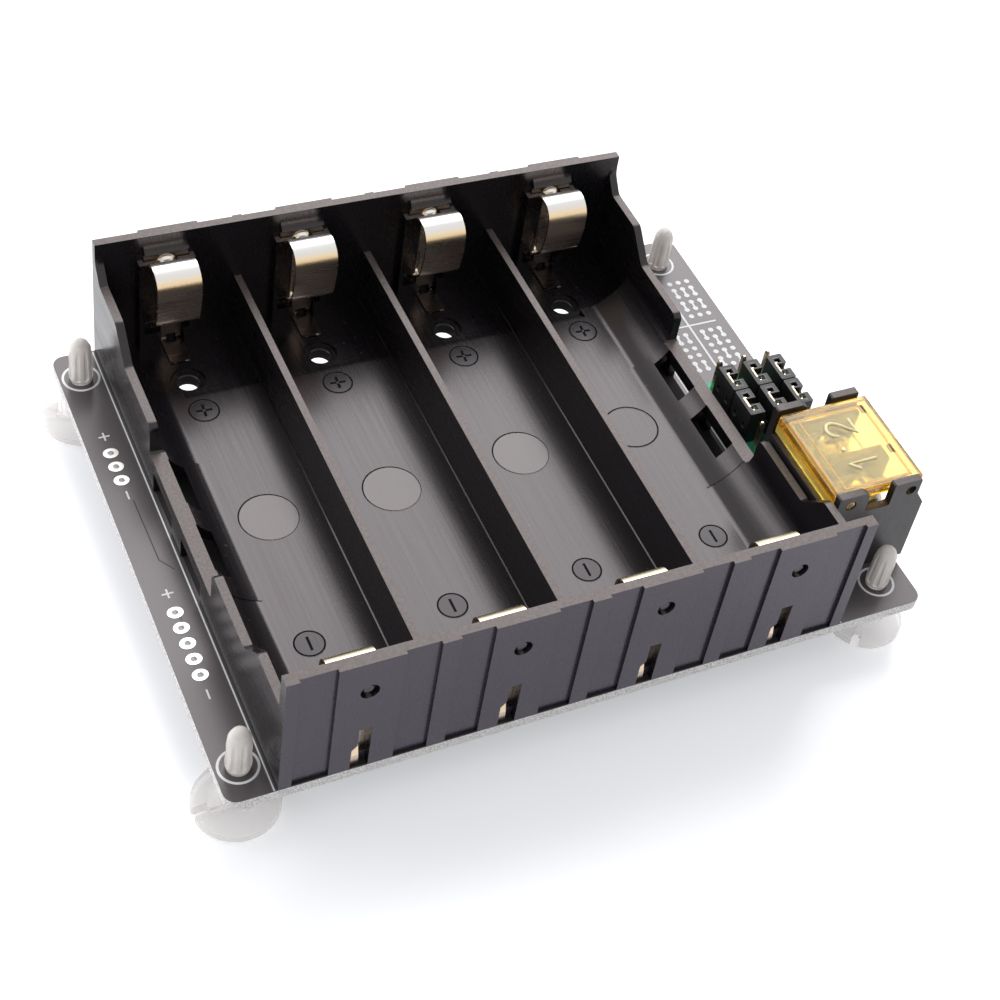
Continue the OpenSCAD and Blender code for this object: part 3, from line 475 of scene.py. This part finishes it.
def dress(node, material, radius, edge=None):
    """Gives a CAD node its material and small rounded edges, in millimetres."""
    piece = NODES[node]
    piece.data.materials.clear()
    piece.data.materials.append(material)
    piece.data.materials.append(edge or material)
    weld = piece.modifiers.new("join corners", "WELD")
    weld.merge_threshold = SAME_POINT
    plain = piece.modifiers.new("flat faces", "DECIMATE")
    plain.decimate_type = "DISSOLVE"
    plain.angle_limit = SAME_PLANE
    rounds = piece.modifiers.new("round edges", "BEVEL")
    rounds.width = radius / 1000
    rounds.segments = 2
    rounds.limit_method = "ANGLE"
    rounds.angle_limit = SHARP
    rounds.material = 1
    even = piece.modifiers.new("flat shading on flats", "WEIGHTED_NORMAL")
    even.weight = 80


# The third entry of a finish is its edge plastic, painted lighter: part wear, part painted highlight.
FINISHES = {
    "cell_tray": (tray_plastic, 0.07, tray_worn_lit_edge),
    "circuit_board": (board_finish, 0.06),
    "header_base": (header_plastic, 0.05),
    "header_pins": (gold, 0.04),
    "jumper_clip": (gold, 0.03),
    "jumper_": (jumper_plastic, 0.08, jumper_worn_lit_edge),
    "spring_contact": (nickel, 0.05),
    "terminal_housing": (terminal_plastic, 0.12, terminal_worn_lit_edge),
    "terminal_cover": (amber, 0.2, amber_mark),
    "terminal_": (steel, 0.1),
    "foot_": (nylon, 0.12),
}
for name in sorted(NODES):
    key = next(k for k in FINISHES if name.startswith(k))
    dress(name, *FINISHES[key])
print("dressed nodes:", len(NODES))

# %% [markdown]
# Print and marks are thin flat meshes that lie on the surface they belong to. Four small
# builders add rings, plates, bars and dots to a mesh under construction. A fifth turns the
# finished mesh into a piece, and a sixth gives it its material and lets it ride on its body.


# %% Mark builders
def ring(bm, x, y, z, outer, inner, tall, sides=48, squeeze=1.0):
    """A flat ring with closed top, bottom and sides."""
    turns = [2 * math.pi * i / sides for i in range(sides)]
    loops = []
    for r, h in ((inner, 0), (outer, 0), (outer, tall), (inner, tall)):
        points = [spot(x + r * math.cos(a), y + squeeze * r * math.sin(a), z + h) for a in turns]
        loops.append([bm.verts.new(point) for point in points])
    for k in range(4):
        first, second = loops[k], loops[(k + 1) % 4]
        for i in range(sides):
            j = (i + 1) % sides
            bm.faces.new((first[i], second[i], second[j], first[j]))


def prism(bm, outline, z, tall):
    """A flat plate of any outline."""
    low = [bm.verts.new(spot(x, y, z)) for x, y in outline]
    high = [bm.verts.new(spot(x, y, z + tall)) for x, y in outline]
    bm.faces.new(list(reversed(low)))
    bm.faces.new(high)
    for i in range(len(outline)):
        j = (i + 1) % len(outline)
        bm.faces.new((low[i], low[j], high[j], high[i]))


def bar(bm, x, y, length, width, z, tall, angle=0.0):
    """A straight bar, centred on a point."""
    turn = math.radians(angle)
    along = Vector((math.cos(turn), math.sin(turn))) * length / 2
    across = Vector((-along.y, along.x)).normalized() * width / 2
    centre = Vector((x, y))
    near, far = centre - across, centre + across
    prism(bm, [near - along, near + along, far + along, far - along], z, tall)


def disc(bm, x, y, radius, z, tall, sides=24):
    """A round dot."""
    turns = [2 * math.pi * i / sides for i in range(sides)]
    prism(bm, [(x + radius * math.cos(a), y + radius * math.sin(a)) for a in turns], z, tall)


def ride_on(mesh, name, material, body):
    """Makes an object from a mesh, gives it its material and lets it ride on a body."""
    mesh.materials.clear()
    mesh.materials.append(material)
    piece = bpy.data.objects.new(name, mesh)
    scene.collection.objects.link(piece)
    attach(piece, body)
    print(name, "faces:", len(mesh.polygons))


def piece_from(bm, name, material, body="base", smooth=False):
    """Turns a mesh under construction into a piece."""
    bmesh.ops.recalc_face_normals(bm, faces=bm.faces)
    mesh = bpy.data.meshes.new(name)
    bm.to_mesh(mesh)
    bm.free()
    if smooth:
        mesh.shade_smooth()
    ride_on(mesh, name, material, body)


print("builders: ring, prism, bar, disc, ride_on, piece_from")

# %% [markdown]
# The board's white print starts with a ring round each foot peg, a line along either side
# of the tray, and plus and minus signs beside the lead holes. Where two bars cross, one is
# a little lower, so that no two faces lie in the same plane.

# %% White print round the tray
INK, CROSSED = 0.02, 0.9
PEG_X, PEG_INSET = (-3.2, TRAY_W + 8.85), 4.8
PEG_RING = (2.6, 2.27)
EDGE_GAP, EDGE_MID, EDGE_LINE = 0.35, 38.4, (76.6, 0.2)
LEAD_X = -3.3
SIGN, SIGN_W, SIGNS_Y = 1.5, 0.24, ((60.6, 49.6), (32.2, 15.8))
ink = bmesh.new()
for x in PEG_X:
    for y in (PEG_INSET, TRAY_L - PEG_INSET):
        ring(ink, x, y, 0, *PEG_RING, INK)
for x in (-EDGE_GAP, TRAY_W + EDGE_GAP):
    bar(ink, x, EDGE_MID, *EDGE_LINE, 0, INK, 90)
for plus_y, minus_y in SIGNS_Y:
    bar(ink, LEAD_X, plus_y, SIGN, SIGN_W, 0, INK)
    bar(ink, LEAD_X, plus_y, SIGN, SIGN_W, 0, INK * CROSSED, 90)
    bar(ink, LEAD_X, minus_y, SIGN, SIGN_W, 0, INK, 90)
print("print thickness in mm:", INK)

# %% [markdown]
# To the right of the tray a printed chart shows where the jumpers go: columns of six dots,
# in which a short bar joins the dots that a jumper bridges. Two crossing lines divide it.
# The dots come in two patterns, so the chart is a short table of columns.

# %% White print of the jumper chart
CHART_STEP, DOT, LINK_W = 1.5, 0.43, 0.36
DIVIDER, CROSSBAR = (85.68, 58.85, 19.6, 0.34), (85.5, 58.12, 9.8, 0.3)
SPLIT, JOINED = [(0,), (1, 2), (3, 4), (5,)], [(0, 1), (2,), (3,), (4, 5)]
CHART = [
    (67.42, [(82.72, JOINED), (84.22, JOINED), (87.1, SPLIT), (88.6, SPLIT), (90.1, SPLIT)]),
    (56.41, [(82.72, JOINED), (84.22, JOINED), (87.15, JOINED), (88.62, SPLIT), (90.1, JOINED)]),
]
bar(ink, *DIVIDER, 0, INK, 90)
bar(ink, *CROSSBAR, 0, INK * CROSSED)
for top, columns in CHART:
    for x, links in columns:
        for link in links:
            rows = [top - CHART_STEP * row for row in link]
            for y in rows:
                disc(ink, x, y, DOT, 0, INK)
            if len(rows) == 2:
                bar(ink, x, sum(rows) / 2, CHART_STEP, LINK_W, 0, INK * CROSSED, 90)
piece_from(ink, "white_print", print_white)

# %% [markdown]
# Each lead hole has a pad of bright solder round it, squashed to an oval. The plating goes
# on down through the hole as a thin sleeve.

# %% Solder pads
LEAD_ROWS = ((52.35, 3), (18.85, 5))
PAD_R, HOLE_R, PAD_T, PAD_SQUEEZE = 1.02, 0.49, 0.05, 0.86
SLEEVE = (0.5, 0.42, 1.63)
pads = bmesh.new()
for first, count in LEAD_ROWS:
    for i in range(count):
        y = first + PIN_PITCH * i
        ring(pads, LEAD_X, y, 0, PAD_R, HOLE_R, PAD_T, 32, PAD_SQUEEZE)
        ring(pads, LEAD_X, y, -BOARD_T, *SLEEVE, 32)
piece_from(pads, "solder_pads", solder)

# %% [markdown]
# Under the lacquer a copper track runs from the three lead holes towards the tray. Only
# its raised edge shows, as a thin line that is a little darker than the board.

# %% Copper track
TRACK, TRACK_W, TRACK_T = [(-2.85, 48.6), (-2.7, 37.8), (-1.3, 35.8)], 0.16, 0.01
track = bmesh.new()
for (x0, y0), (x1, y1) in zip(TRACK, TRACK[1:]):
    turn = math.degrees(math.atan2(y1 - y0, x1 - x0))
    bar(track, (x0 + x1) / 2, (y0 + y1) / 2, math.hypot(x1 - x0, y1 - y0), TRACK_W, 0, TRACK_T, turn)
piece_from(track, "copper_track", track_shade)

# %% [markdown]
# The tray floor carries marks from its mould: a circled plus and minus in each bay, and
# the round prints of the ejector pins. They are shallow grooves whose shade reads as thin
# dark lines, so they are drawn as lines of painted shade two hundredths of a millimetre
# proud. A second, lighter set just in front of them is a painted highlight on the lit lip
# of each groove.

# %% Mould marks on the tray floor
GROOVE, LINE_W = 0.02, 0.24
PLUS_Y, PLUS_R, MINUS_Y, MINUS_R = 60.0, 2.15, 18.0, 2.05
MINUS_BAR = (2.2, 0.36)
ARM, ARM_AT, ARM_TURN = (0.95, 0.4), 0.66, -4
EJECTORS, EJECTOR_RING = [(12.3, 39.2), (29.5, 39.1), (49.0, 40.0), (66.4, 40.0)], (4.0, 3.78)
RECESS_TOP, RECESS_AT, RECESS_RING = 0.8, (3.4, 66.8), (1.9, 1.82)
LIP_DROP = 0.09


def floor_marks(name, material, tall, drop=0.0):
    """Every mark of the floor, moved to the front by drop."""
    bm = bmesh.new()
    for x in BAY_X:
        for y, radius in ((PLUS_Y, PLUS_R), (MINUS_Y, MINUS_R)):
            ring(bm, x, y - drop, FLOOR_TOP, radius, radius - LINE_W, tall)
        bar(bm, x, MINUS_Y - drop, *MINUS_BAR, FLOOR_TOP, tall, 90)
        for turn in (ARM_TURN + 90 * i for i in range(4)):
            dx, dy = ARM_AT * math.cos(math.radians(turn)), ARM_AT * math.sin(math.radians(turn))
            bar(bm, x + dx, PLUS_Y - drop + dy, *ARM, FLOOR_TOP, tall, turn)
    for x, y in EJECTORS:
        ring(bm, x, y - drop, FLOOR_TOP, *EJECTOR_RING, tall, 64)
    for x in BAY_X:
        ring(bm, x + RECESS_AT[0], RECESS_AT[1], RECESS_TOP, *RECESS_RING, tall, 40)
    piece_from(bm, name, material)


# Painted highlight on the groove lips, then painted shade in the grooves.
floor_marks("mould_mark_lit_lips", tray_worn_lit_edge, GROOVE * 0.7, LIP_DROP)
floor_marks("mould_marks", groove_painted_shade, GROOVE)

# %% [markdown]
# Inside its ring each sign has a darker, smoother ground, and three of the four ejector
# prints have a lighter one, which is a painted sheen. Thin discs show both.

# %% Grounds of the marks
PLUS_GROUND, MINUS_GROUND = 2.0, 1.9
PRINT_R, PRINT_SHIFT, PRINTS = 3.86, (0.03, -0.08), 3
discs = bmesh.new()
for x in BAY_X:
    disc(discs, x, PLUS_Y, PLUS_GROUND, FLOOR_TOP, GROOVE * 0.5, 48)
    disc(discs, x, MINUS_Y, MINUS_GROUND, FLOOR_TOP, GROOVE * 0.5, 48)
piece_from(discs, "mark_discs", mark_plastic)
# The lighter ground of the ejector prints is a painted sheen.
prints = bmesh.new()
for x, y in EJECTORS[:PRINTS]:
    disc(prints, x + PRINT_SHIFT[0], y + PRINT_SHIFT[1], PRINT_R, FLOOR_TOP, GROOVE * 1.2, 64)
piece_from(prints, "ejector_prints", tray_sheen)

# %% [markdown]
# Each front contact ends in a tail that bends out into its slot in the front wall, where
# it catches the light. One bent strip per bay shows it: a rectangle at each point of the
# tail's line, joined to the next.

# %% Contact tail tips
TAIL_LINE = [(1.6, 3.7), (1.2, 3.3), (0.7, 1.5), (0.6, 0.1)]
TAIL_X, TAIL_T = (-1.1, -0.1), 0.25
tips = bmesh.new()
for x in BAY_X:
    corners = [(x + side, back) for side in TAIL_X for back in (0, TAIL_T)]
    rows = [[tips.verts.new(spot(at, y + back, z)) for at, back in corners] for y, z in TAIL_LINE]
    for low, high in zip(rows, rows[1:]):
        for a, b in ((0, 1), (1, 3), (3, 2), (2, 0)):
            tips.faces.new((low[a], low[b], high[b], high[a]))
    for end in (rows[0], rows[-1]):
        tips.faces.new((end[0], end[1], end[3], end[2]))
piece_from(tips, "contact_tail_tips", nickel)

# %% [markdown]
# Each back contact has a round bump below its ledge. It is smooth and full, so it gathers
# the lamp light into one bright spot. A ball, flattened front to back, shows it.

# %% Contact bumps
BUMP_R, BUMP_DEPTH = 1.25, 0.72
BUMP_DX, BUMP_Y, BUMP_Z = -0.7, 75.5, 15.75
bumps = bmesh.new()
for x in BAY_X:
    ball = bmesh.ops.create_uvsphere(bumps, u_segments=32, v_segments=16, radius=BUMP_R / 1000)["verts"]
    bmesh.ops.scale(bumps, vec=(1, BUMP_DEPTH, 1), verts=ball)
    bmesh.ops.translate(bumps, vec=spot(x + BUMP_DX, BUMP_Y, BUMP_Z), verts=ball)
piece_from(bumps, "contact_bumps", bump_nickel, smooth=True)

# %% [markdown]
# Seen from above, each jumper cap has a flat end round either pin, and the bright bridge
# strip shows between the two ends. Four bars round a pin make an end, in the lighter edge
# plastic: part wear, part painted highlight.

# %% Jumper cap tops
CAP_X, CAP_PITCH, CAP_Y, CAP_TOP = 81.3, 4, (39.16, 34.08), 8.4
END_BARS = [(0, 1.83, 2.3, 0.36), (0, 0.72, 2.3, 0.24), (-0.82, 1.25, 0.66, 0.9), (0.82, 1.25, 0.66, 0.9)]
END_SUNK, END_T = 0.25, 0.24
BRIDGE_DX, BRIDGE, BRIDGE_T = -0.58, (1.9, 0.3), 0.2
for n in range(6):
    x, y = CAP_X + CAP_PITCH * (n // 2), CAP_Y[n % 2]
    body = f"jumper_cap_{n + 1}"
    ends = bmesh.new()
    for way in (-1, 1):
        for dx, dy, wide, deep in END_BARS:
            bar(ends, x + dx, y + way * dy, wide, deep, CAP_TOP - END_SUNK, END_T)
    piece_from(ends, f"jumper_{n + 1}_ends", jumper_worn_lit_edge, body)
    strip = bmesh.new()
    bar(strip, x + BRIDGE_DX, y, *BRIDGE, CAP_TOP - BRIDGE_T, BRIDGE_T, 90)
    piece_from(strip, f"jumper_{n + 1}_bridge", cream_metal, body)

# %% [markdown]
# The cover has the wire numbers 1 and 2 raised on its upper face. Each digit is one stroke,
# a curve with a round section, and its top points towards the tray. The curve is turned
# into a mesh, half sunk in the face.

# %% Cover digits
COVER_TOP = 15.32
DIGIT_X, STROKE_R = 88.2, 0.24
FIRST_Y = {"cover_digit_1": 12.7, "cover_digit_2": 18.9}
ONE = [(0.1, 3.0), (1.3, 4.2), (1.3, 0.0)]
TWO = [
    (0.05, 3.1), (0.25, 3.65), (0.7, 4.05), (1.3, 4.2), (1.9, 4.05), (2.4, 3.65),
    (2.55, 3.1), (2.35, 2.45), (1.9, 1.85), (0.05, 0.05), (2.65, 0.05),
]


def stroke(name, points):
    """A raised line on the cover."""
    curve = bpy.data.curves.new(name, "CURVE")
    curve.dimensions = "3D"
    curve.bevel_depth = STROKE_R / 1000
    curve.bevel_resolution = 3
    curve.use_fill_caps = True
    line = curve.splines.new("POLY")
    line.points.add(len(points) - 1)
    for point, (x, y) in zip(line.points, points):
        point.co = (*spot(x, y, COVER_TOP), 1)
    made = bpy.data.objects.new(name, curve)
    scene.collection.objects.link(made)
    bpy.context.view_layer.update()
    mesh = bpy.data.meshes.new_from_object(made)
    bpy.data.objects.remove(made)
    mesh.shade_smooth()
    ride_on(mesh, name, amber_digit, "cover")


for (name, first_y), line in zip(FIRST_Y.items(), (ONE, TWO)):
    stroke(name, [(DIGIT_X - up, first_y + across) for across, up in line])

# %% [markdown]
# The rest of the cover's face is a dot, the four lines along its rim, and the shade of the
# two notches at its hinge. On the left its side wall reaches a little deeper, as a skirt.

# %% Cover dot, lines, notches and skirt
FACE_Z, LINES_X, LINES_Y = 15.27, 86.2, 16.7
SIDE_LINES, SIDE_LINE = ((81.1, 0.07), (91.3, 0.06)), (13.2, 0.2)
END_LINES, END_LINE = ((23.3, 0.05), (10.2, 0.05)), (10.4, 0.2)
DOT_AT, DOT_R, DOT_Z, DOT_TALL = (84.46, 16.58), 0.28, 15.25, 0.3
NOTCH_X, NOTCH_Y, NOTCH, NOTCH_Z, NOTCH_T = 91.1, (14.9, 22.6), (1.5, 0.8), 15.28, 0.05
SKIRT_X, SKIRT_Y, SKIRT_Z, SKIRT_TALL = (79.15, 79.7), (9.5, 24.8), 12.3, 1.3
dot = bmesh.new()
disc(dot, *DOT_AT, DOT_R, DOT_Z, DOT_TALL)
piece_from(dot, "cover_dot", amber_digit, "cover")
lines = bmesh.new()
for x, tall in SIDE_LINES:
    bar(lines, x, LINES_Y, *SIDE_LINE, FACE_Z, tall, 90)
for y, tall in END_LINES:
    bar(lines, LINES_X, y, *END_LINE, FACE_Z, tall)
piece_from(lines, "cover_lines", amber_mark, "cover")
notches = bmesh.new()
for y in NOTCH_Y:
    bar(notches, NOTCH_X, y, *NOTCH, NOTCH_Z, NOTCH_T, 90)
piece_from(notches, "cover_notches", amber_shade, "cover")
skirt = bmesh.new()
outline = [(SKIRT_X[i], SKIRT_Y[j]) for i, j in ((0, 0), (1, 0), (1, 1), (0, 1))]
prism(skirt, outline, SKIRT_Z, SKIRT_TALL)
piece_from(skirt, "cover_skirt", amber_side, "cover")

# %% [markdown]
# A white floor under soft light gives the plain studio look. It glows a little, but only for
# what the camera sees straight on, in a mirror or through clear plastic. So the background
# stays white while the light on the holder stays soft and its shadow shows.


# %% Floor
def seen_directly(tree):
    """A mask for what is seen straight on, in a mirror or through clear plastic."""
    rays = add(tree, "ShaderNodeLightPath").outputs
    seen = calc(tree, "MAXIMUM", rays["Is Camera Ray"], rays["Is Glossy Ray"])
    return calc(tree, "MAXIMUM", seen, rays["Is Transmission Ray"])


SIDE, FLOOR_GAP, FLOOR_GLOW = 3.0, 0.00003, 0.39
corners = [(-SIDE, -SIDE, 0), (SIDE, -SIDE, 0), (SIDE, SIDE, 0), (-SIDE, SIDE, 0)]
floor_mesh = bpy.data.meshes.new("floor")
floor_mesh.from_pydata(corners, [], [(0, 1, 2, 3)])
floor = bpy.data.objects.new("floor", floor_mesh)
floor.location.z = -FLOOR_GAP
scene.collection.objects.link(floor)
floor_white, tree, shader = new_material("white floor")
fill(tree, shader, Base_Color=(0.915, 0.925, 0.95), Roughness=0.35)
fill(tree, shader, Emission_Color=(0.96, 0.97, 1))
fill(tree, shader, Emission_Strength=calc(tree, "MULTIPLY", seen_directly(tree), FLOOR_GLOW))
floor_mesh.materials.append(floor_white)
print("floor side in metres:", 2 * SIDE)

# %% [markdown]
# The world is a plain white room. It lights the holder at a bit over half strength and
# looks fully white where it is seen directly, by the same mask as the floor.

# %% World
WORLD_LIGHT = 0.6
world = bpy.data.worlds.new("studio")
world.use_nodes = True
scene.world = world
tree = world.node_tree
level = fade(tree, seen_directly(tree), low=WORLD_LIGHT, high=1.0)
fill(tree, tree.nodes["Background"], Color=(1, 1, 1), Strength=level)
print("world light:", WORLD_LIGHT)

# %% [markdown]
# Two square lamps shape the holder. The key lamp stands high behind it on the right and
# throws the soft shadow to the front. The weaker side lamp, low on the left, draws the
# highlights along the walls.


# %% Lamps
def softbox(name, at, size, power):
    """A square lamp that faces the holder."""
    data = bpy.data.lights.new(name, "AREA")
    data.shape, data.size, data.energy = "SQUARE", size, power
    lamp = bpy.data.objects.new(name, data)
    lamp.location = at
    lamp.rotation_euler = (-Vector(at)).to_track_quat("-Z", "Y").to_euler()
    scene.collection.objects.link(lamp)


softbox("key", at=(0.30, 0.50, 0.62), size=0.55, power=4.3)
softbox("side", at=(-0.434, 0.342, 0.192), size=0.4, power=1.5)
